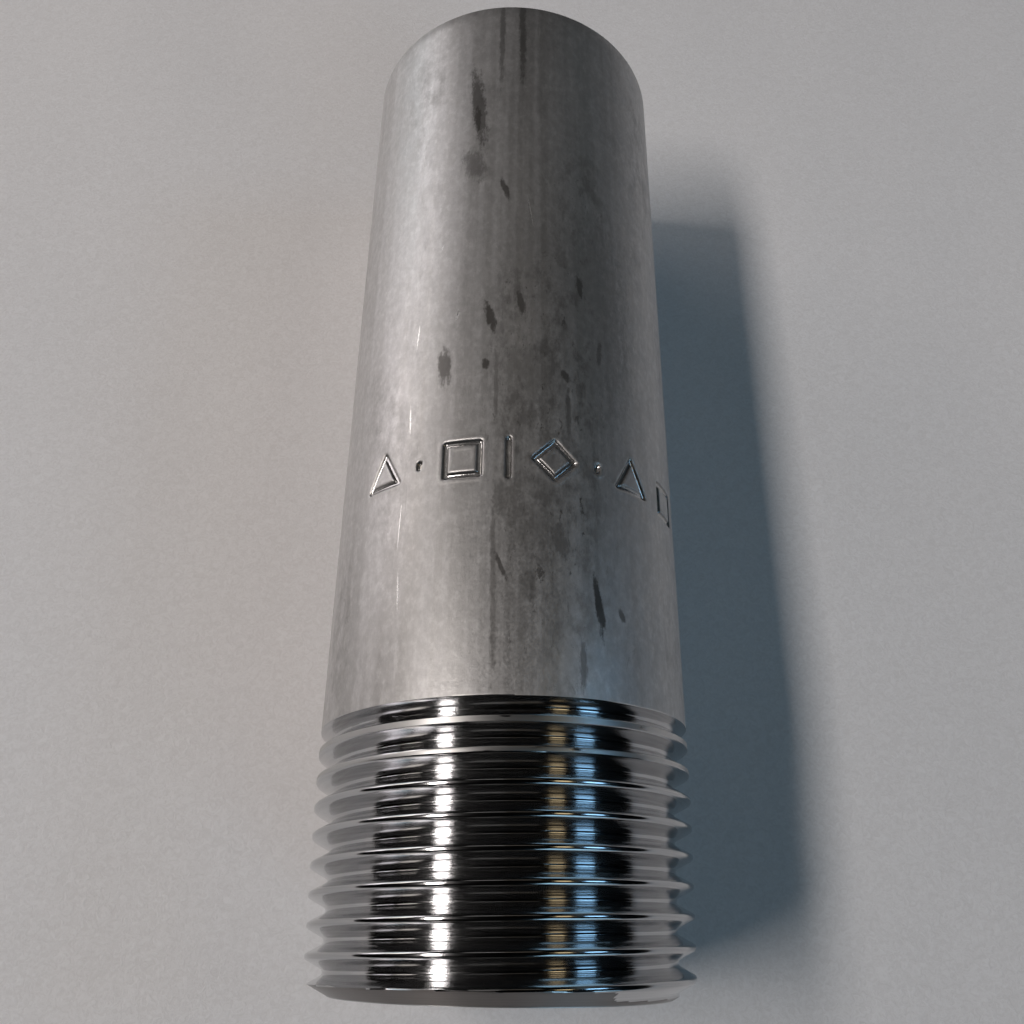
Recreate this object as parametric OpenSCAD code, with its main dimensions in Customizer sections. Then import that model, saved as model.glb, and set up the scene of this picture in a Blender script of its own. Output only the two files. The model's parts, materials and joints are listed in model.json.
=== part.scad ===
// Pipe nipple with one male taper thread and one plain end, cut from a single length of steel pipe.
// It lies along +Y with +Z up. The origin is the centre of the threaded end's face, on the bore's axis,
// and the plain end is at +Y. Every module below builds along its own +Z and lay() turns it to +Y.
// One piece of metal is drawn as three stretches, because each is made and finished differently:
// the barrel keeps the pipe's mill skin, the thread core is the turned cone, the thread is the cut ridge.

/* [Pipe] */
// Overall length
length = 100; // [60:1:300]
// Outside diameter of the pipe
pipe_d = 33.4; // [33.2:0.1:34]
// Wall thickness (Schedule 80)
wall = 4.55; // [3.9:0.05:6.4]
// Deburring chamfer at both mouths of the bore
bore_chamfer = 0.4; // [0.1:0.1:0.6]
// Deburring chamfer around the plain end
plain_chamfer = 0.6; // [0.1:0.1:1.5]

/* [Thread R 1, ISO 7-1] */
// Pitch: 11 turns an inch
pitch = 2.309; // [2.2:0.001:2.35]
// Major diameter at the gauge plane
gauge_d = 33.249; // [33.1:0.001:33.3]
// Distance of the gauge plane from the threaded end's face
gauge_length = 10.4; // [8:0.1:12.7]
// Length cut to full depth
full_length = 20.4; // [16.8:0.1:20.5]
// Where the last groove runs out into the pipe's skin
runout_end = 22.4; // [21.5:0.1:24]
// Outside radius of the threaded end's face, inside its chamfer
nose_r = 14.2; // [13.8:0.1:14.4]
// Angle of the nose chamfer, measured from the axis
nose_angle = 63; // [61:1:68]
// Axial position of the first crest where it passes the top of the pipe
first_crest = 1.07; // [0:0.01:2.3]

/* [Bench marks] */
// Distance of the row of punched marks from the threaded end's face
marks_at = 42; // [30:1:55]
// Angle between neighbouring marks, around the pipe
mark_step = 14; // [12:1:18]
// Depth of a punched mark
mark_depth = 0.3; // [0.1:0.05:0.5]
// Width of a punched stroke
stroke = 0.6; // [0.4:0.1:1]

/* [Hidden] */

mill_skin = [0.62, 0.61, 0.61];
cut_steel = [0.80, 0.80, 0.82];

pipe_r = pipe_d / 2;
bore_r = pipe_r - wall;

// Whitworth form: 55 degrees between the flanks, a sixth of the height rounded off at crest and root.
flank = 27.5;
thread_depth = 0.640327 * pitch;
crest_round = 0.137329 * pitch;
crest_shoulder = thread_depth - crest_round * (1 - sin(flank));
ridge_half = pitch * 5 / 12;
taper = 1 / 32;
minor_r0 = gauge_d / 2 - thread_depth - gauge_length * taper;
minor_r_full = minor_r0 + full_length * taper;

steps_a_turn = 60;
step_angle = 360 / steps_a_turn;
// The ridge's corners stand out by this factor, so that its flat facets just touch the round core.
facet_lift = 1 / cos(step_angle / 2);
// Height that the ridge keeps over the core where the nose chamfer cuts it away.
least_height = 0.04;
// The ridge's far side never comes closer than this to the end of the run-out.
runout_margin = 0.1;
// Its middle starts before the end face, so that the ridge grows out of the nose chamfer, and ends
// beyond the run-out, so that the last groove fades into the pipe's skin.
ridge_start = 0.47 - ridge_half;
ridge_end = runout_end + ridge_half - 2 * runout_margin;
ridge_steps = floor((ridge_end - ridge_start) / pitch * steps_a_turn);
// The top of the pipe is at -90 degrees before lay() turns the part.
start_angle = -90 + (ridge_start - first_crest) / pitch * 360;

round_fn = 96;
// Clear distance by which a cutting solid passes the surface it cuts.
over = 1;

// Radius of the nose chamfer's cone at z.
function nose_at(z) = nose_r + z * tan(nose_angle);

// Radius of the core under the thread at z: the nose, the minor cone, then the run-out.
function root_at(z) =
    min(
        nose_at(z),
        z < full_length
            ? minor_r0 + z * taper
            : minor_r_full + (z - full_length) * (pipe_r - minor_r_full) / (runout_end - full_length)
    );

// Radius of the pipe before the thread is cut: the nose, the major cone, then the pipe's own skin.
function blank_at(z) = min(nose_at(z), minor_r0 + thread_depth + z * taper, pipe_r);

// Height that a flank standing at z may reach: to the crest's rounding, or to the pipe's skin.
function flank_height(z) = min(crest_shoulder, pipe_r - root_at(z));

// The same for the flank on the far side of the ridge, which the nose chamfer may also cut.
function far_flank_height(z) =
    min(flank_height(z), (nose_at(z) - root_at(z)) / (1 + tan(flank) * tan(nose_angle)));

// The five corners of the ridge's section whose middle is at z, as [axial place, radius].
function ridge_section(z) =
    let (
        near = max(0, z - ridge_half),
        near_shoulder = max(0, z - ridge_half + flank_height(near) * tan(flank)),
        near_r = min(root_at(near) + flank_height(near), blank_at(near_shoulder)),
        far = min(z + ridge_half, runout_end - runout_margin),
        far_height = far_flank_height(far),
        far_shoulder = far - far_height * tan(flank),
        middle = min(max(0, z), (near_shoulder + far_shoulder) / 2),
        crest_r = min(root_at(middle) + thread_depth, blank_at(middle))
    )
    [
        [near, root_at(near)],
        [near_shoulder, max(root_at(near) + least_height / 2, near_r)],
        [middle, max(root_at(middle) + least_height, crest_r)],
        [far_shoulder, root_at(far) + far_height],
        [far, root_at(far)]
    ];

// Turns a part built along +Z to lie along +Y. Its -Y side comes to the top.
module lay() {
    rotate([-90, 0, 0]) children();
}

// Places a child on the pipe's skin, angle degrees to the right of the top, with its +Z pointing out.
module on_skin(angle, along) {
    rotate([0, 0, angle - 90])
        translate([pipe_r - mark_depth, 0, along])
            rotate([0, 90, 0])
                children();
}

// A straight punched stroke of the given length; it runs along the pipe when turn is 0.
module bar_mark(size, turn = 0) {
    rotate([0, 0, turn])
        translate([-size / 2, -stroke / 2, 0])
            cube([size, stroke, mark_depth + over]);
}

// A round punched dot.
module dot_mark(d) {
    cylinder(h = mark_depth + over, d = d, $fn = round_fn);
}

// A square outline of four strokes, turned by turn degrees.
module box_mark(size, turn = 0) {
    for (quarter = [0:90:270])
        rotate([0, 0, quarter + turn])
            translate([(size - stroke) / 2, 0, 0])
                bar_mark(size, 90);
}

// A triangle outline of three strokes.
module triangle_mark(size) {
    for (third = [0:120:240])
        rotate([0, 0, third])
            translate([size * 0.29, 0, 0])
                bar_mark(size, 90);
}

// An evenly spaced row of plain geometric bench marks around the top of the barrel.
module bench_marks() {
    on_skin(-3 * mark_step, marks_at) triangle_mark(3.6);
    on_skin(-2 * mark_step, marks_at) dot_mark(1.4);
    on_skin(-mark_step, marks_at) box_mark(3.4);
    on_skin(0, marks_at) bar_mark(3.8);
    on_skin(mark_step, marks_at) box_mark(2.8, 45);
    on_skin(2 * mark_step, marks_at) dot_mark(1.4);
    on_skin(3 * mark_step, marks_at) triangle_mark(3.6);
    on_skin(4.5 * mark_step, marks_at) box_mark(3.4);
}

// The plain pipe: everything beyond the thread's run-out, with its bore and its square-cut end.
module barrel() {
    color(mill_skin)
        lay()
            difference() {
                rotate_extrude($fn = round_fn)
                    polygon([
                        [bore_r, runout_end],
                        [pipe_r, runout_end],
                        [pipe_r, length - plain_chamfer],
                        [pipe_r - plain_chamfer, length],
                        [bore_r + bore_chamfer, length],
                        [bore_r, length - bore_chamfer]
                    ]);
                bench_marks();
            }
}

// The metal under the thread: nose chamfer, minor cone and run-out, with the bore through it.
module thread_core() {
    nose_length = (minor_r0 - nose_r) / (tan(nose_angle) - taper);
    color(cut_steel)
        lay()
            rotate_extrude($fn = round_fn)
                polygon([
                    [bore_r + bore_chamfer, 0],
                    [nose_r, 0],
                    [nose_at(nose_length), nose_length],
                    [minor_r_full, full_length],
                    [pipe_r, runout_end],
                    [bore_r, runout_end],
                    [bore_r, bore_chamfer]
                ]);
}

// The thread itself: a right-hand ridge wound on the core, swept one section a step.
module thread() {
    corners = 5;
    points = [
        for (i = [0:ridge_steps])
            let (
                z = ridge_start + i * pitch / steps_a_turn,
                angle = start_angle + i * step_angle
            )
            for (corner = ridge_section(z))
                let (r = corner[1] * facet_lift)
                [r * cos(angle), r * sin(angle), corner[0]]
    ];
    sides = [
        for (i = [0:ridge_steps - 1])
            for (j = [0:corners - 1])
                let (
                    a = i * corners + j,
                    b = i * corners + (j + 1) % corners
                )
                for (half = [0, 1])
                    half == 0 ? [a, b, b + corners] : [a, b + corners, a + corners]
    ];
    // The first section is flat on the end face up to its crest, and the last on the pipe's skin, so
    // each is closed by triangles around a corner that keeps clear of that flat.
    first_cap = [[3, 0, 4], [3, 1, 0], [3, 2, 1]];
    last_cap = [
        for (t = [[2, 3, 4], [2, 4, 0], [2, 0, 1]])
            [for (corner = t) ridge_steps * corners + corner]
    ];
    color(cut_steel)
        lay()
            polyhedron(points, concat(sides, first_cap, last_cap));
}

barrel();
thread_core();
thread();
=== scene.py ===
"""Looks of a threaded pipe nipple: the cut taper thread, the drawn pipe's mill skin, the punched marks,
the faced ends and the bore. The frame is the CAD part's: +Y runs along the bore from the threaded end's
face to the plain end, and +Z is up. Sizes are in millimetres unless a comment says metres, and meshes are
turned into metres when they are made. Angles start at the top and are positive towards +X."""

import json
import math

import bpy
import numpy as np
from mathutils import Matrix, Vector

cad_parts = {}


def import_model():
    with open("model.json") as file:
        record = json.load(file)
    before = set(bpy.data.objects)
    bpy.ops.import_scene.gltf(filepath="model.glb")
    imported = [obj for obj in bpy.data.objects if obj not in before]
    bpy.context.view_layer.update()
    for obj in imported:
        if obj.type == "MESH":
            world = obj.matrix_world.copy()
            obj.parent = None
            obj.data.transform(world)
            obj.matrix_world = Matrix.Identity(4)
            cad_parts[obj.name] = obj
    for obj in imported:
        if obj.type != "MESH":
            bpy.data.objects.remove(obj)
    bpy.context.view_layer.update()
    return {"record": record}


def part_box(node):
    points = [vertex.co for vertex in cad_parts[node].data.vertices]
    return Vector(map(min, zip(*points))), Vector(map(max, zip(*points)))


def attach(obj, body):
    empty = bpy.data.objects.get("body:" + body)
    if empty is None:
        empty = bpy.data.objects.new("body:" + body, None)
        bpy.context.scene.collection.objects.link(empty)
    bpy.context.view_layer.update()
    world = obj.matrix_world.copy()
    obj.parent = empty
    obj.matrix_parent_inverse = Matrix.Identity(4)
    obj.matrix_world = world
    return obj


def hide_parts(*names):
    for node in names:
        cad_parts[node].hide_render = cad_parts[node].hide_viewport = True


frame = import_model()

MM = 0.001

# ---------------------------------------------------------------- sizes, in millimetres

MOUNTS = {m["name"]: m for m in frame["record"]["mounts"]}
BARREL_LOW, BARREL_HIGH = (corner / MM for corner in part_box("barrel"))
LENGTH = BARREL_HIGH.y
PIPE_R = MOUNTS["plain_end_outside"]["dims"]["r_mm"]
BORE_R = MOUNTS["flow_bore"]["dims"]["r_mm"]
RUNOUT_END = BARREL_LOW.y

PITCH = 2.309
TAPER = 1 / 32
FLANK = math.radians(27.5)
THREAD_DEPTH = 0.640327 * PITCH
ROOT_ROUND = 0.137329 * PITCH
CREST_ROUND = 0.1 * PITCH
# Radius of the thread's root line at the end face, and where that line turns up into the run-out.
MINOR_R0 = 14.74
FULL_LENGTH = 20.4
# Where the first crest passes the top.
FIRST_CREST = 1.07
# The nose chamfer's radius at the end face and its rise along the pipe. Faces of the threaded end that
# come this close to it are turned metal, not thread.
NOSE_R = 14.2
NOSE_SLOPE = math.tan(math.radians(63))
NOSE_BAND = 0.06
# Beyond this place, faces within this depth of the pipe's radius keep the pipe's skin.
SKIN_FROM = 20.6
SKIN_DEPTH = 0.01
# Rounding where the thread meets the pipe's radius, and where it meets the nose chamfer.
SKIN_BLEND = 0.05
NOSE_BLEND = 0.08
BORE_CHAMFER = 0.4
PLAIN_CHAMFER = 0.6
# Edges are softened by rows of vertices this far from them.
EDGE_ROUND = 0.05
EDGE_STEP = 0.3 * EDGE_ROUND
SHARP_ANGLE = 35

# How far the surface wanders on the threaded end and on the barrel.
WAVE_SEED = 3
BLANK_WAVE = 0.002
BARREL_WAVE = 0.012

MARKS_AT = 42.0
# Degrees between neighbouring marks.
MARK_STEP = 14
MARK_DEPTH = 0.26
# Half widths of a stroke: at the skin and at its flat bottom.
STROKE = 0.36
STROKE_BOTTOM = 0.08
# The rim that a punch pushes up: its height, its distance from the stroke's middle and its width.
RIM_HEIGHT = 0.018
RIM_AT = 1.5 * STROKE
RIM_WIDTH = 0.45 * STROKE


# ---------------------------------------------------------------- helpers

def smoothstep(low, high, x):
    t = np.clip((x - low) / (high - low), 0, 1)
    return t * t * (3 - 2 * t)


def smooth_min(a, b, k):
    """The smaller of a and b, with the corner between them rounded over about k."""
    h = np.clip(0.5 + 0.5 * (b - a) / k, 0, 1)
    return b + (a - b) * h - k * h * (1 - h)


def waviness(angle, y, seed):
    """A smooth wander between about -1 and 1 over the pipe's surface, closed around it."""
    rng = np.random.default_rng(seed)
    total = 0
    waves = 6
    for lobes in range(1, waves + 1):
        along = rng.uniform(0.01, 0.12)
        turn, shift = rng.uniform(0, 2 * math.pi, 2)
        total = total + np.sin(lobes * angle + turn) * np.sin(along * y * 2 * math.pi + shift) / waves
    return total


def mesh_object(name, points, faces, material_of, materials):
    """A smooth-shaded mesh from points in millimetres. Edges over SHARP_ANGLE degrees stay sharp."""
    mesh = bpy.data.meshes.new(name)
    mesh.from_pydata((np.asarray(points) * MM).tolist(), [], faces)
    for material in materials:
        mesh.materials.append(material)
    mesh.polygons.foreach_set("material_index", material_of)
    mesh.polygons.foreach_set("use_smooth", [True] * len(mesh.polygons))
    mesh.set_sharp_from_angle(angle=math.radians(SHARP_ANGLE))
    mesh.validate()
    mesh.update()
    piece = bpy.data.objects.new(name, mesh)
    bpy.context.scene.collection.objects.link(piece)
    return piece


def around(angles, radius, y):
    """Points of one ring; angles in radians from the top, radius and y in millimetres."""
    radius = np.broadcast_to(radius, angles.shape)
    y = np.broadcast_to(y, angles.shape)
    return np.stack([radius * np.sin(angles), y, radius * np.cos(angles)], axis=-1)


# ---------------------------------------------------------------- thread

def root_at(y):
    """Radius of the thread's root line at y: the minor cone, then the run-out."""
    full = MINOR_R0 + FULL_LENGTH * TAPER
    rise = (y - FULL_LENGTH) * (PIPE_R - full) / (RUNOUT_END - FULL_LENGTH)
    return np.where(y < FULL_LENGTH, MINOR_R0 + y * TAPER, full + rise)


def thread_height(angle, y):
    """Height of the Whitworth form over the root line: round root, straight flank, round crest."""
    crest = FIRST_CREST + PITCH * angle / (2 * math.pi)
    from_crest = np.abs((y - crest + PITCH / 2) % PITCH - PITCH / 2)
    from_root = PITCH / 2 - from_crest
    root_end = ROOT_ROUND * math.cos(FLANK)
    flank_start = ROOT_ROUND * (1 - math.sin(FLANK))
    arc = ROOT_ROUND - np.sqrt(np.clip(ROOT_ROUND**2 - from_root**2, 0, None))
    flank = flank_start + (from_root - root_end) / math.tan(FLANK)
    height = np.where(from_root < root_end, arc, flank)
    return smooth_min(height, np.full_like(height, THREAD_DEPTH), CREST_ROUND)


def thread_radius(angle, y):
    """Radius of the threaded end's outside: the thread, cut back to the pipe's skin and the nose."""
    blank = PIPE_R + BLANK_WAVE * waviness(angle, y, WAVE_SEED)
    cut = smooth_min(root_at(y) + thread_height(angle, y), blank, SKIN_BLEND)
    return smooth_min(cut, NOSE_R + y * NOSE_SLOPE, NOSE_BLEND)


def threaded_end(materials):
    """The threaded end as one solid. Its outside rows follow the helix, so that crests and roots lie on
    them, and are held back at the nose and at the run-out."""
    thread, face, bore, skin = range(4)
    columns, rows_a_turn = 288, 26
    face_rows, face_margin, bore_rows = 5, 0.4, 24
    low, high = EDGE_ROUND, RUNOUT_END
    turns = math.ceil((high - low) / PITCH) + 3
    angles = np.arange(columns) * 2 * math.pi / columns
    points, faces, material_of = [], [], []
    index = {}

    def vertex(key, point):
        if key not in index:
            index[key] = len(points)
            points.append(point)
        return index[key]

    # A row's place along the pipe at the top, before the helix shifts it.
    starts = low - 1.5 * PITCH + np.arange(turns * rows_a_turn) * PITCH / rows_a_turn
    grid_y = starts[:, None] + PITCH * angles[None, :] / (2 * math.pi)
    snap = 0.25 * PITCH / rows_a_turn
    grid_y = np.where(grid_y < low + snap, low, np.where(grid_y > high - snap, high, grid_y))
    grid_r = thread_radius(np.broadcast_to(angles, grid_y.shape), grid_y)
    grid_r = np.where(grid_y >= high, PIPE_R, grid_r)

    def grid_vertex(row, column):
        if column == columns:
            row, column = row + rows_a_turn, 0
        y, r, angle = grid_y[row, column], grid_r[row, column], angles[column]
        key = (column, "low") if y == low else (column, "high") if y == high else (column, row)
        return vertex(key, (r * math.sin(angle), y, r * math.cos(angle)))

    def add_face(corners, material):
        kept = [c for k, c in enumerate(corners) if c != corners[k - 1]]
        if len(set(kept)) >= 3:
            faces.append(kept)
            material_of.append(material)

    for row in range(len(starts) - 1 - rows_a_turn):
        for column in range(columns):
            corners = (
                grid_vertex(row, column),
                grid_vertex(row + 1, column),
                grid_vertex(row + 1, column + 1),
                grid_vertex(row, column + 1),
            )
            middle = grid_y[row:row + 2, column].mean()
            side_r = grid_r[row:row + 2, column]
            on_nose = NOSE_R + middle * NOSE_SLOPE - side_r.mean() < NOSE_BAND
            uncut = middle > SKIN_FROM and side_r.min() > PIPE_R - SKIN_DEPTH
            add_face(corners, face if on_nose else skin if uncut else thread)

    # Rings from the nose over the face, through the bore and back along the cut at the run-out.
    nose = thread_radius(angles, np.full(columns, low))
    face_inside = BORE_R + BORE_CHAMFER + EDGE_ROUND
    rings = [
        (nose - EDGE_STEP, EDGE_STEP, face),
        (nose - EDGE_ROUND, 0.0, face),
        *[(r, 0.0, face) for r in np.linspace(NOSE_R - face_margin, face_inside, face_rows)],
        (BORE_R + BORE_CHAMFER - EDGE_STEP, EDGE_STEP, face),
        (BORE_R + EDGE_STEP, BORE_CHAMFER - EDGE_STEP, face),
        *[(BORE_R, y, bore) for y in np.linspace(BORE_CHAMFER + EDGE_ROUND, high, bore_rows)],
    ]
    before = [index[(column, "low")] for column in range(columns)]
    for number, (radius, y, material) in enumerate(rings):
        ring = around(angles, radius, y)
        after = [vertex((column, "ring", number), tuple(ring[column])) for column in range(columns)]
        for column in range(columns):
            right = (column + 1) % columns
            add_face((before[column], before[right], after[right], after[column]), material)
        before = after
    last = [index[(column, "high")] for column in range(columns)]
    for column in range(columns):
        right = (column + 1) % columns
        add_face((before[column], before[right], last[right], last[column]), face)
    return mesh_object("threaded_end", points, faces, material_of, materials)


# ---------------------------------------------------------------- punched marks

def bar(size, turn=0.0, at=(0.0, 0.0)):
    """One stroke as its two ends, in millimetres around and along the pipe; along it when turn is 0."""
    t = math.radians(turn)
    half = (size / 2 * math.sin(t), size / 2 * math.cos(t))
    return [((at[0] - half[0], at[1] - half[1]), (at[0] + half[0], at[1] + half[1]))]


def outline(sides, reach, size, turn=0.0):
    """The strokes of a regular outline, each at reach from the middle."""
    strokes = []
    for k in range(sides):
        t = math.radians(turn + 360 * k / sides)
        strokes += bar(size, math.degrees(t) + 90, (reach * math.sin(t), reach * math.cos(t)))
    return strokes


# Each mark: steps from the top, share of the full depth, strokes.
MARKS = [
    (-3, 0.8, outline(3, 1.04, 3.6, 180)),
    (-2, 1.2, bar(0.4)),
    (-1, 0.9, outline(4, 1.55, 3.1)),
    (0, 1.0, bar(3.6)),
    (1, 1.1, outline(4, 1.25, 2.5, 45)),
    (2, 1.3, bar(0.4)),
    (3, 1.0, outline(3, 1.04, 3.6, 180)),
    (4.5, 0.9, outline(4, 1.55, 3.1)),
]
# The patch with fine rows and columns, around the pipe and along it.
MARKS_FROM, MARKS_TO = math.radians(-56), math.radians(76)
MARKS_LOW, MARKS_HIGH = MARKS_AT - 4.4, MARKS_AT + 3.2


def punched(angle, y):
    """Depth of the punch marks and height of their rims, as shares of MARK_DEPTH and RIM_HEIGHT."""
    depth = np.zeros_like(y)
    rim = np.zeros_like(y)
    for step, share, strokes in MARKS:
        u = (angle - math.radians(step * MARK_STEP)) * PIPE_R
        v = y - MARKS_AT
        reach = np.full_like(y, np.inf)
        for (u0, v0), (u1, v1) in strokes:
            du, dv = u1 - u0, v1 - v0
            t = np.clip(((u - u0) * du + (v - v0) * dv) / (du * du + dv * dv), 0, 1)
            reach = np.minimum(reach, np.hypot(u - u0 - t * du, v - v0 - t * dv))
        depth = np.maximum(depth, share * (1 - smoothstep(STROKE_BOTTOM, STROKE, reach)))
        rim = np.maximum(rim, share * np.exp(-(((reach - RIM_AT) / RIM_WIDTH) ** 2)))
    return depth, rim


# ---------------------------------------------------------------- barrel

def spread(stops):
    """Places along a line: each stop is (from, to, step), and the stops follow one another."""
    out = []
    for start, end, step in stops:
        out.append(np.linspace(start, end, max(2, round((end - start) / step) + 1))[:-1])
    return np.concatenate(out)


def barrel(materials):
    """The plain pipe as one solid, with fine rows and columns only around the punched marks."""
    skin, face, bore = range(3)
    turn = 2 * math.pi
    fine, near_thread, far_along = 0.085, 1.1, 1.6
    face_rows, bore_rows = 6, 30
    angles = spread([
        (MARKS_FROM, MARKS_TO, fine / PIPE_R),
        (MARKS_TO, MARKS_FROM + turn, math.radians(2.5)),
    ])
    signed = np.where(angles > math.pi, angles - turn, angles)
    chamfer_y = LENGTH - PLAIN_CHAMFER
    rows = spread([
        (RUNOUT_END, MARKS_LOW, near_thread),
        (MARKS_LOW, MARKS_HIGH, fine),
        (MARKS_HIGH, chamfer_y - EDGE_ROUND, far_along),
    ])
    rings = [(BORE_R, RUNOUT_END, face), (np.full(angles.shape, PIPE_R), rows[0], skin)]
    plain = np.zeros(angles.shape)
    dents = [plain, plain]
    # The waviness starts at nothing beside the thread and is whole after fade millimetres.
    fade = 4
    for y in rows[1:]:
        depth, rim = punched(signed, np.full(angles.shape, y))
        wave = BARREL_WAVE * waviness(angles, y, WAVE_SEED) * smoothstep(RUNOUT_END, RUNOUT_END + fade, y)
        rings.append((PIPE_R + wave - MARK_DEPTH * depth + RIM_HEIGHT * rim, y, skin))
        dents.append(depth)
    face_outside = PIPE_R - PLAIN_CHAMFER - EDGE_ROUND
    face_inside = BORE_R + BORE_CHAMFER + EDGE_ROUND
    bore_start = LENGTH - BORE_CHAMFER - EDGE_ROUND
    rings += [
        (PIPE_R, chamfer_y - EDGE_ROUND, skin),
        (PIPE_R - EDGE_STEP, chamfer_y + EDGE_STEP, face),
        (PIPE_R - PLAIN_CHAMFER + EDGE_STEP, LENGTH - EDGE_STEP, face),
        *[(r, LENGTH, face) for r in np.linspace(face_outside, face_inside, face_rows)],
        (BORE_R + BORE_CHAMFER - EDGE_STEP, LENGTH - EDGE_STEP, face),
        (BORE_R + EDGE_STEP, LENGTH - BORE_CHAMFER + EDGE_STEP, face),
        *[(BORE_R, y, bore) for y in np.linspace(bore_start, RUNOUT_END, bore_rows)[:-1]],
    ]
    dents += [plain] * (len(rings) - len(dents))
    points = np.concatenate([around(angles, radius, y) for radius, y, _ in rings])
    columns, faces, material_of = len(angles), [], []
    for k in range(len(rings)):
        ahead = (k + 1) % len(rings)
        for column in range(columns):
            right = (column + 1) % columns
            faces.append((
                k * columns + column,
                ahead * columns + column,
                ahead * columns + right,
                k * columns + right,
            ))
            material_of.append(rings[ahead][2] if ahead else bore)
    piece = mesh_object("barrel_skin", points, faces, material_of, materials)
    attribute = piece.data.attributes.new("punch", "FLOAT", "POINT")
    attribute.data.foreach_set("value", np.concatenate(dents).astype(np.float32))
    return piece


# ---------------------------------------------------------------- materials

class Nodes:
    """A short way to write a material's node tree."""

    def __init__(self, name, **principled):
        self.material = bpy.data.materials.new(name)
        self.material.use_nodes = True
        self.tree = self.material.node_tree
        self.shader = self.tree.nodes["Principled BSDF"]
        for socket, value in principled.items():
            self.shader.inputs[socket.replace("_", " ")].default_value = value
        self.place = self.add("ShaderNodeTexCoord").outputs["Object"]

    def add(self, kind, **settings):
        node = self.tree.nodes.new(kind)
        for key, value in settings.items():
            setattr(node, key, value)
        return node

    def put(self, socket, value):
        """Links the value to the socket if it comes from a node, and sets it otherwise."""
        if hasattr(value, "is_linked"):
            self.tree.links.new(value, socket)
        else:
            socket.default_value = value

    def math(self, operation, a, b=0.0, c=0.0, clamp=False):
        node = self.add("ShaderNodeMath", operation=operation, use_clamp=clamp)
        for socket, value in zip(node.inputs, (a, b, c)):
            self.put(socket, value)
        return node.outputs[0]

    def noise(self, scale, detail=3.0, roughness=0.5, offset=(0.0, 0.0, 0.0), distortion=0.0):
        """Noise over the object's place, with scale in features a metre along X, Y and Z."""
        mapping = self.add("ShaderNodeMapping")
        mapping.inputs["Scale"].default_value = scale
        mapping.inputs["Location"].default_value = offset
        self.put(mapping.inputs["Vector"], self.place)
        node = self.add("ShaderNodeTexNoise")
        node.inputs["Scale"].default_value = 1.0
        node.inputs["Detail"].default_value = detail
        node.inputs["Roughness"].default_value = roughness
        node.inputs["Distortion"].default_value = distortion
        self.put(node.inputs["Vector"], mapping.outputs[0])
        return node.outputs["Fac"]

    def band(self, value, low, high, to_low=0.0, to_high=1.0):
        """value between low and high, as a smooth step from to_low to to_high."""
        node = self.add("ShaderNodeMapRange", interpolation_type="SMOOTHSTEP")
        for socket, v in zip(node.inputs, (value, low, high, to_low, to_high)):
            self.put(socket, v)
        return node.outputs[0]

    def mix(self, factor, a, b):
        node = self.add("ShaderNodeMix", data_type="RGBA")
        self.put(node.inputs["Factor"], factor)
        self.put(node.inputs[6], a)
        self.put(node.inputs[7], b)
        return node.outputs[2]

    def along_and_out(self):
        """The place's Y, and its distance from the bore's axis."""
        node = self.add("ShaderNodeSeparateXYZ")
        self.put(node.inputs[0], self.place)
        x, y, z = node.outputs
        squares = self.math("ADD", self.math("MULTIPLY", x, x), self.math("MULTIPLY", z, z))
        return y, self.math("SQRT", squares)

    def patch(self, angle, along, width, length, tilt=0.0):
        """Distance from a point on the pipe's skin, 1 at the edge of an oval of that width and length in
        millimetres. tilt leans the oval, in degrees, towards +X at its far end."""
        t = math.radians(angle)
        centre = (PIPE_R * MM * math.sin(t), along * MM, PIPE_R * MM * math.cos(t))
        mapping = self.add("ShaderNodeMapping", vector_type="TEXTURE")
        mapping.inputs["Location"].default_value = centre
        mapping.inputs["Rotation"].default_value = (0.0, 0.0, -math.radians(tilt))
        mapping.inputs["Scale"].default_value = (width / 2 * MM, length / 2 * MM, width / 2 * MM)
        self.put(mapping.inputs["Vector"], self.place)
        node = self.add("ShaderNodeVectorMath", operation="LENGTH")
        self.put(node.inputs[0], mapping.outputs[0])
        return node.outputs["Value"]

    def bump(self, height, strength, distance, normal=None):
        node = self.add("ShaderNodeBump")
        node.inputs["Strength"].default_value = strength
        node.inputs["Distance"].default_value = distance
        self.put(node.inputs["Height"], height)
        if normal is not None:
            self.put(node.inputs["Normal"], normal)
        return node.outputs[0]

    def around_axis(self):
        """The direction around the pipe, as the tangent that turning or drawing marks follow."""
        return self.add("ShaderNodeTangent", direction_type="RADIAL", axis="Y").outputs[0]

    def finish(self, **sockets):
        for socket, value in sockets.items():
            self.put(self.shader.inputs[socket.replace("_", " ")], value)
        return self.material


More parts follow.
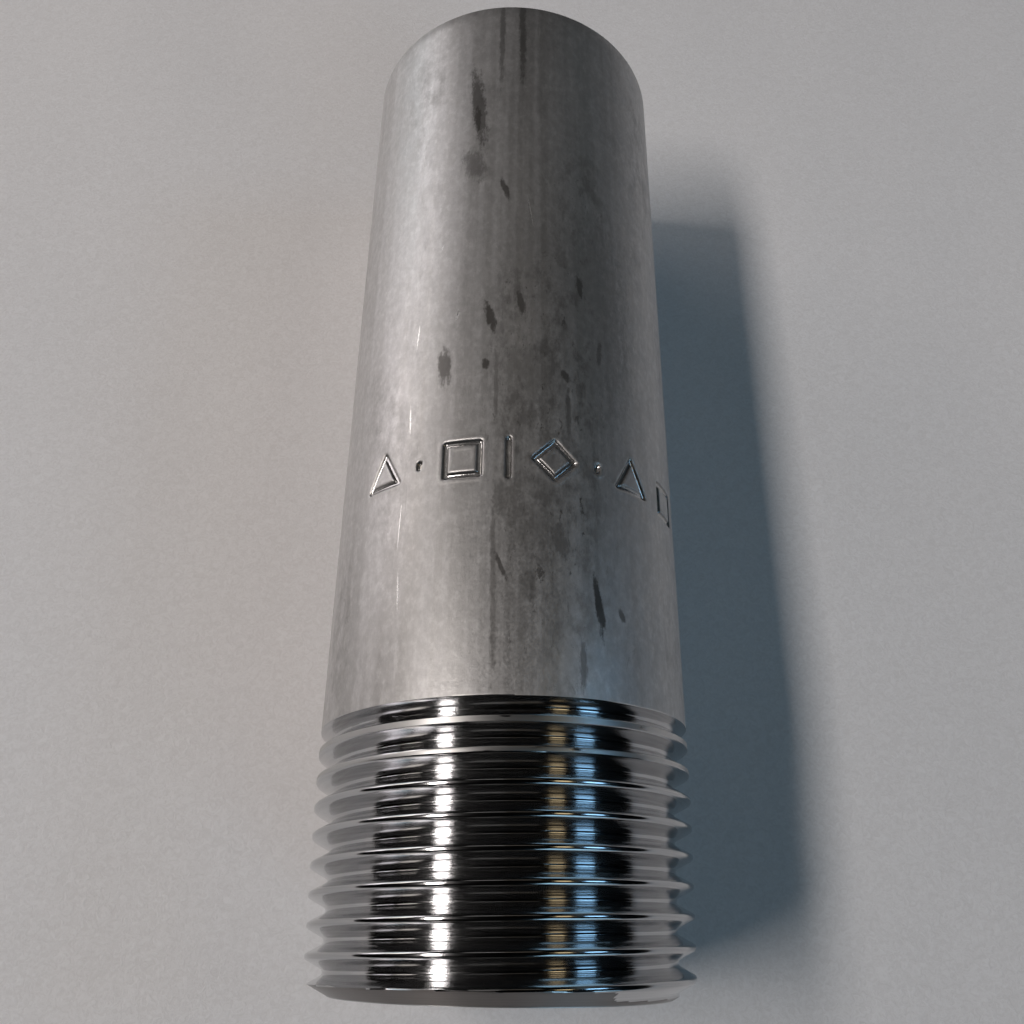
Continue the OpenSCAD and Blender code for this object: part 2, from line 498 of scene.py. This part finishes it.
# Dark rub marks and handling stains on the skin: degrees from the top, millimetres from the threaded
# end, width, length, lean and darkness.
STAINS = [
    (-6.5, 56.7, 1.0, 3.9, -15, 0.9),
    (3.2, 58.5, 0.85, 3.6, -13, 0.8),
    (-2.4, 72.4, 0.6, 3.0, -19, 0.8),
    (-12.6, 84.0, 1.5, 12.0, -6, 0.75),
    (-12.8, 82.5, 0.9, 4.5, -3, 0.95),
    (-13.6, 76.0, 2.2, 4.5, -15, 0.55),
    (-4.6, 95.0, 0.6, 16.0, 0, 0.5),
    (3.0, 95.0, 0.8, 16.0, -1, 0.6),
    (-21.1, 51.9, 1.3, 4.2, -4, 0.75),
    (-7.5, 51.6, 0.7, 1.3, 0, 0.9),
    (-4.2, 49.0, 0.45, 10.0, -1, 0.5),
    (-3.9, 31.0, 0.5, 17.0, -1, 0.5),
    (23.2, 61.5, 0.9, 3.0, -4, 0.8),
    (17.7, 50.9, 0.8, 1.6, -31, 0.8),
    (18.5, 47.0, 0.6, 5.4, 0, 0.6),
    (30.0, 54.4, 0.7, 3.5, 6, 0.6),
    (27.3, 29.0, 0.75, 6.6, -9, 0.95),
    (-1.8, 31.9, 0.45, 3.2, -24, 0.8),
    (15.6, 34.5, 1.6, 4.0, -17, 0.6),
    (7.0, 35.0, 4.0, 5.0, 0, 0.4),
    (6.2, 30.4, 1.6, 3.0, -5, 0.5),
    (-1.8, 38.0, 2.0, 4.0, 0, 0.45),
    (21.7, 24.0, 0.7, 4.0, 0, 0.6),
    (35.2, 28.8, 0.6, 1.6, -34, 0.7),
    (8.0, 51.0, 7.0, 6.0, 0, 0.35),
    (28.0, 58.0, 9.0, 26.0, 0, 0.3),
    (10.0, 63.0, 8.0, 12.0, 0, 0.2),
]
# Broad smudged areas: the same without the lean, and a strength in place of the darkness.
SMUDGES = [
    (12, 47, 17, 56, 1.0),
    (24, 66, 10, 34, 0.8),
    (4, 30, 9, 18, 0.7),
    (150, 60, 22, 60, 0.7),
    (-120, 40, 18, 50, 0.6),
]
# Bright scratches: the same as the stains, without the darkness.
SCRATCHES = [
    (-31.5, 56.0, 0.16, 5.0, 4),
    (-32.5, 47.0, 0.22, 4.0, -3),
    (-34.0, 36.5, 0.14, 7.0, 2),
    (-33.0, 30.5, 0.2, 6.0, -4),
    (-17.5, 57.5, 0.3, 1.4, 12),
    (-24.0, 66.0, 0.12, 4.5, 24),
    (6.0, 70.0, 0.12, 5.5, -9),
    (75.0, 50.0, 0.16, 8.0, 6),
    (-100.0, 64.0, 0.2, 9.0, -11),
    (170.0, 45.0, 0.2, 7.0, 15),
]


def mill_skin():
    """Drawn and pickled pipe: satin and finely pitted, faintly streaked lengthwise, with smudged areas,
    rub marks, scratches and painted shade on the walls of the punched dents."""
    m = Nodes("mill_skin", Metallic=0.84, Anisotropic=0.5)
    streaks = m.noise((1100, 14, 1100), 4, 0.6)
    hairlines = m.noise((6000, 90, 6000), 3, 0.6, (3, 1, 7))
    grain = m.noise((4200, 3000, 4200), 4, 0.7, (2, 5, 3))
    felt = m.noise((1500, 1000, 1500), 6, 0.75, (4, 4, 8))
    mottle = m.noise((700, 360, 700), 5, 0.7, (9, 2, 4))
    crumbs = m.noise((1500, 560, 1500), 5, 0.8, (7, 7, 2), 0.6)
    clouds = m.noise((120, 55, 120), 3, 0.5, (1, 8, 2))

    stains_and_dent_shade = 0.0
    ragged = m.noise((2300, 900, 2300), 5, 0.75, (5, 5, 1))
    for angle, along, width, length, tilt, darkness in STAINS:
        reach = m.patch(angle, along, width, length, tilt)
        distance = m.math("MULTIPLY_ADD", ragged, 2.4, reach)
        spot = m.math("MULTIPLY", m.band(distance, 1.75, 2.5, 1.0, 0.0), darkness)
        stains_and_dent_shade = m.math("MAXIMUM", spot, stains_and_dent_shade)

    smudged = m.band(clouds, 0.5, 0.66, 0.0, 0.45)
    for angle, along, width, length, share in SMUDGES:
        reach = m.math("ADD", clouds, m.patch(angle, along, width, length))
        smudged = m.math("MAXIMUM", m.band(reach, 0.9, 1.7, share, 0.0), smudged)
    blotches = m.math("MULTIPLY", smudged, m.band(mottle, 0.42, 0.66, 0.06, 0.62))
    specks = m.math("MULTIPLY", smudged, m.band(crumbs, 0.57, 0.66, 0.0, 0.8))
    stains_and_dent_shade = m.math("MAXIMUM", stains_and_dent_shade, m.math("MAXIMUM", blotches, specks))

    scratched = 0.0
    for angle, along, width, length, tilt in SCRATCHES:
        reach = m.math("MULTIPLY_ADD", grain, 1.2, m.patch(angle, along, width, length, tilt))
        scratched = m.math("MAXIMUM", m.band(reach, 1.1, 1.7, 1.0, 0.0), scratched)

    punch = m.add("ShaderNodeAttribute", attribute_name="punch").outputs["Fac"]
    # Painted shade: the sloping walls of the punched dents, though not their flat bottoms, are darkened with
    # the stains' dark colour.
    dent_wall_shade = m.math("MULTIPLY", m.band(punch, 0.02, 0.2), m.band(punch, 0.9, 0.4))
    stains_and_dent_shade = m.math("MAXIMUM", stains_and_dent_shade, m.math("MULTIPLY", dent_wall_shade, 0.6))

    colour = m.mix(m.band(streaks, 0.35, 0.65), (0.51, 0.495, 0.485, 1), (0.57, 0.555, 0.55, 1))
    colour = m.mix(m.band(felt, 0.36, 0.56, 0.35, 0.0), colour, (0.38, 0.37, 0.36, 1))
    colour = m.mix(m.band(felt, 0.5, 0.68, 0.0, 0.5), colour, (0.7, 0.69, 0.68, 1))
    colour = m.mix(m.band(hairlines, 0.68, 0.78, 0.0, 0.4), colour, (0.3, 0.29, 0.28, 1))
    # Real stains and the painted shade in the dents both darken towards this colour.
    colour = m.mix(stains_and_dent_shade, colour, (0.10, 0.092, 0.085, 1))
    colour = m.mix(m.math("MULTIPLY", scratched, 0.8), colour, (0.86, 0.85, 0.84, 1))

    rough = m.band(streaks, 0.3, 0.7, 0.4, 0.46)
    rough = m.math("ADD", rough, m.band(mottle, 0.35, 0.7, -0.03, 0.05))
    rough = m.math("ADD", rough, m.band(grain, 0.3, 0.7, -0.06, 0.05))
    rough = m.math("MULTIPLY_ADD", scratched, -0.15, rough)
    rough = m.math("MULTIPLY_ADD", m.band(punch, 0.1, 0.6), -0.28, rough)
    height = m.math("MULTIPLY_ADD", streaks, 0.4, m.math("MULTIPLY", hairlines, 0.2))
    height = m.math("MULTIPLY_ADD", grain, 0.5, height)
    height = m.math("MULTIPLY_ADD", felt, 1.2, height)
    height = m.math("MULTIPLY_ADD", scratched, -0.5, height)
    normal = m.bump(height, 0.35, 0.00003)
    return m.finish(Base_Color=colour, Roughness=rough, Normal=normal, Tangent=m.around_axis())


def cut_thread():
    """The freshly cut thread: smooth, with fine marks around the pipe. Where the crests reach the pipe's
    own radius they are duller, like its skin."""
    m = Nodes("cut_thread", Metallic=1.0, Anisotropic=0.6, Anisotropic_Rotation=0.25)
    _, radius = m.along_and_out()
    lathe = m.noise((60, 9000, 60), 3, 0.6)
    chatter = m.noise((500, 2500, 500), 2, 0.5, (4, 4, 4))
    skin = m.band(radius, (PIPE_R - 0.02) * MM, (PIPE_R - 0.008) * MM)
    ragged = m.math("MULTIPLY", skin, m.band(chatter, 0.2, 0.4))
    colour = m.mix(m.band(lathe, 0.35, 0.65), (0.46, 0.46, 0.465, 1), (0.55, 0.55, 0.555, 1))
    colour = m.mix(ragged, colour, (0.56, 0.55, 0.54, 1))
    rough = m.math("ADD", m.band(lathe, 0.3, 0.7, 0.12, 0.16), m.math("MULTIPLY", ragged, 0.3))
    height = m.math("MULTIPLY_ADD", chatter, 0.3, lathe)
    normal = m.bump(height, 0.015, 0.00002)
    return m.finish(Base_Color=colour, Roughness=rough, Normal=normal, Tangent=m.around_axis())


def faced_end():
    """A turned face, with turning marks in rings round the bore, and a nose chamfer whose colour carries a
    painted dark reflection.
    """
    m = Nodes("faced_end", Metallic=1.0, Anisotropic=0.85, Anisotropic_Rotation=0.25)
    y, radius = m.along_and_out()
    rings = m.add("ShaderNodeTexNoise", noise_dimensions="1D")
    rings.inputs["Scale"].default_value = 1.0
    rings.inputs["Detail"].default_value = 4.0
    m.put(rings.inputs["W"], m.math("MULTIPLY", m.math("ADD", radius, y), 9000.0))
    rings = rings.outputs["Fac"]
    patches = m.noise((300, 300, 300), 3, 0.5)
    colour = m.mix(m.band(rings, 0.3, 0.7), (0.5, 0.5, 0.5, 1), (0.68, 0.68, 0.68, 1))
    colour = m.mix(m.band(patches, 0.55, 0.7, 0.0, 0.4), colour, (0.38, 0.37, 0.36, 1))
    # Painted dark reflection on the nose chamfer, standing in for the shaded floor that it faces: clear of
    # the face, near the threaded end, and no further in than the face's edge.
    painted_nose_reflection = m.math("MULTIPLY", m.band(y, 0.02 * MM, 0.1 * MM), m.band(y, 3 * MM, 2 * MM))
    painted_nose_reflection = m.math("MULTIPLY", painted_nose_reflection, m.band(radius, (NOSE_R - 0.3) * MM, NOSE_R * MM))
    # The painted reflection's dark colour, with the turning rings in it.
    painted_reflection_colour = m.mix(m.band(rings, 0.3, 0.7), (0.17, 0.155, 0.145, 1), (0.26, 0.24, 0.23, 1))
    colour = m.mix(painted_nose_reflection, colour, painted_reflection_colour)
    rough = m.math("ADD", m.band(rings, 0.3, 0.7, 0.28, 0.4), m.math("MULTIPLY", patches, 0.1))
    normal = m.bump(rings, 0.35, 0.00002)
    return m.finish(Base_Color=colour, Roughness=rough, Normal=normal, Tangent=m.around_axis())


def bore_skin():
    """The drawn bore: darker than the outside, with lengthwise die lines and dull oxide patches."""
    m = Nodes("bore_skin", Metallic=1.0, Anisotropic=0.5)
    lines = m.noise((2200, 15, 2200), 4, 0.6, (2, 2, 2))
    oxide = m.noise((160, 90, 160), 4, 0.6, (6, 1, 3))
    colour = m.mix(m.band(lines, 0.35, 0.65), (0.33, 0.32, 0.31, 1), (0.46, 0.45, 0.44, 1))
    colour = m.mix(m.band(oxide, 0.5, 0.68, 0.0, 0.6), colour, (0.2, 0.18, 0.165, 1))
    rough = m.math("ADD", m.band(lines, 0.3, 0.7, 0.36, 0.5), m.band(oxide, 0.5, 0.7, 0.0, 0.14))
    normal = m.bump(lines, 0.5, 0.00004)
    return m.finish(Base_Color=colour, Roughness=rough, Normal=normal, Tangent=m.around_axis())


def pale_cloth():
    """The plain pale floor, very slightly fibrous."""
    m = Nodes("pale_floor", Metallic=0.0, Roughness=0.95)
    fibres = m.noise((1400, 1400, 1400), 4, 0.7, distortion=1.5)
    folds = m.noise((14, 11, 14), 2, 0.5)
    colour = m.mix(m.band(fibres, 0.3, 0.7), (0.78, 0.76, 0.76, 1), (0.87, 0.855, 0.86, 1))
    normal = m.bump(folds, 0.5, 0.004, m.bump(fibres, 0.35, 0.0002))
    m.shader.inputs["Specular IOR Level"].default_value = 0.2
    return m.finish(Base_Color=colour, Normal=normal)


# ---------------------------------------------------------------- camera, light and floor

# The camera, fitted to the outlines in the photo: its place, and its turns about X, Y and Z in degrees.
SENSOR_WIDTH = 36.0
LENS = 32.32
CAMERA_AT = (-0.17, 4.24, 86.45)
CAMERA_TURNS = (24.99, -0.39, 0.91)

# Lights, in metres. Each has a name, degrees from straight up, degrees wide, its start and end along the
# pipe, its radiance, its colour and, where it isn't LIGHT_DISTANCE, its distance.
LIGHT_DISTANCE = 0.6
FAR_DISTANCE = 1.2
LIGHTS = [
    ("key", -38, 8, -0.4, 0.24, 21.0, (1.0, 0.94, 0.9), FAR_DISTANCE),
    ("far_left", -38, 14, 0.18, 0.36, 0.6, (1.0, 0.95, 0.92)),
    ("window_left", -65, 14, 0.25, 0.5, 2.2, (1.0, 0.92, 0.84)),
    ("window_left_far", -65, 14, 0.5, 0.9, 3.8, (1.0, 0.95, 0.96)),
    ("wall_left", -83, 15, 0.45, 1.0, 2.5, (1.0, 0.94, 0.97), FAR_DISTANCE),
    ("wall_left_far", -83, 15, 1.0, 1.8, 1.2, (0.75, 0.92, 1.0), FAR_DISTANCE),
    ("ceiling_left", -12, 24, 0.35, 0.6, 0.26, (1.0, 0.97, 0.93)),
    ("ceiling_right", 12, 24, 0.35, 0.6, 0.12, (1.0, 0.88, 0.74)),
    ("lamp_right", 34, 9, -0.02, 0.16, 1.1, (1.0, 0.78, 0.45)),
    ("window_right", 53, 12, 0.0, 0.14, 3.6, (0.33, 0.65, 1.0)),
    ("window_right_far", 53, 16, 0.3, 0.9, 0.12, (0.75, 0.93, 1.0)),
    ("front_right", 55, 50, -1.2, -0.4, 1.4, (0.45, 0.76, 1.0)),
]
# Strengths of the world across the pipe, along it and straight to the eye. They multiply its dark grey.
WORLD_ACROSS, WORLD_ALONG, WORLD_SEEN = 0.004, 0.012, 7.0

# The floor's half width, in metres, and the gap under the barrel, in millimetres.
FLOOR_REACH = 2.5
FLOOR_GAP = 0.02


def camera():
    """Close above the threaded end, looking down and along the pipe."""
    data = bpy.data.cameras.new("camera")
    data.sensor_width = SENSOR_WIDTH
    data.lens = LENS
    data.clip_start = 0.002
    data.clip_end = 20.0
    eye = bpy.data.objects.new("camera", data)
    tip, yaw, roll = (math.radians(v) for v in CAMERA_TURNS)
    turn = Matrix.Rotation(tip, 4, "X") @ Matrix.Rotation(yaw, 4, "Y") @ Matrix.Rotation(roll, 4, "Z")
    eye.matrix_world = Matrix.Translation(Vector(CAMERA_AT) * MM) @ turn
    bpy.context.scene.collection.objects.link(eye)
    bpy.context.scene.camera = eye


def strip_light(name, angle, span, start, end, radiance, colour, distance=LIGHT_DISTANCE):
    """A soft light parallel to the pipe, angle degrees from straight up towards +X, as wide as span degrees
    seen from the part, from start to end along the pipe in metres. radiance is its brightness to the eye."""
    width = 2 * distance * math.tan(math.radians(span / 2))
    data = bpy.data.lights.new(name, "AREA")
    data.shape = "RECTANGLE"
    data.size, data.size_y = width, end - start
    data.color = colour
    data.energy = radiance * math.pi * width * (end - start)
    lamp = bpy.data.objects.new(name, data)
    t = math.radians(angle)
    lamp.location = (distance * math.sin(t), (start + end) / 2, distance * math.cos(t))
    lamp.rotation_euler = (0.0, t, 0.0)
    lamp.visible_camera = False
    bpy.context.scene.collection.objects.link(lamp)


def world():
    """A dim room, near black across the pipe and a little lighter along it, with a paler backdrop that
    only the eye sees."""
    made = bpy.data.worlds.new("room")
    bpy.context.scene.world = made
    made.use_nodes = True
    tree = made.node_tree
    add, link = tree.nodes.new, tree.links.new
    where = add("ShaderNodeTexCoord").outputs["Generated"]
    split = add("ShaderNodeSeparateXYZ")
    link(where, split.inputs[0])
    along = add("ShaderNodeMath")
    along.operation = "ABSOLUTE"
    link(split.outputs["Y"], along.inputs[0])
    ramp = add("ShaderNodeMapRange")
    # Shares of a direction that run along the pipe, between which the room grows lighter.
    least, most = 0.35, 0.95
    for socket, value in zip(ramp.inputs[1:5], (least, most, WORLD_ACROSS, WORLD_ALONG)):
        socket.default_value = value
    link(along.outputs[0], ramp.inputs[0])
    seen = add("ShaderNodeMix")
    seen.data_type = "FLOAT"
    link(add("ShaderNodeLightPath").outputs["Is Camera Ray"], seen.inputs["Factor"])
    link(ramp.outputs[0], seen.inputs[2])
    seen.inputs[3].default_value = WORLD_SEEN
    link(seen.outputs[0], tree.nodes["Background"].inputs["Strength"])


def floor(material):
    """A flat square sheet just under the barrel."""
    mesh = bpy.data.meshes.new("floor")
    reach, level = FLOOR_REACH, (BARREL_LOW.z - FLOOR_GAP) * MM
    corners = [(-reach, -reach), (reach, -reach), (reach, reach), (-reach, reach)]
    mesh.from_pydata([(x, y, level) for x, y in corners], [], [(0, 1, 2, 3)])
    mesh.materials.append(material)
    sheet = bpy.data.objects.new("floor", mesh)
    bpy.context.scene.collection.objects.link(sheet)


camera()
world()
floor(pale_cloth())
for light in LIGHTS:
    strip_light(*light)

scene = bpy.context.scene
scene.view_settings.view_transform = "Standard"
scene.view_settings.look = "None"

skin, thread_metal, face_metal, bore_metal = mill_skin(), cut_thread(), faced_end(), bore_skin()
end_piece = threaded_end([thread_metal, face_metal, bore_metal, skin])
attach(end_piece, "root")
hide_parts("thread_core", "thread")
barrel_piece = barrel([skin, face_metal, bore_metal])
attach(barrel_piece, "root")
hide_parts("barrel")
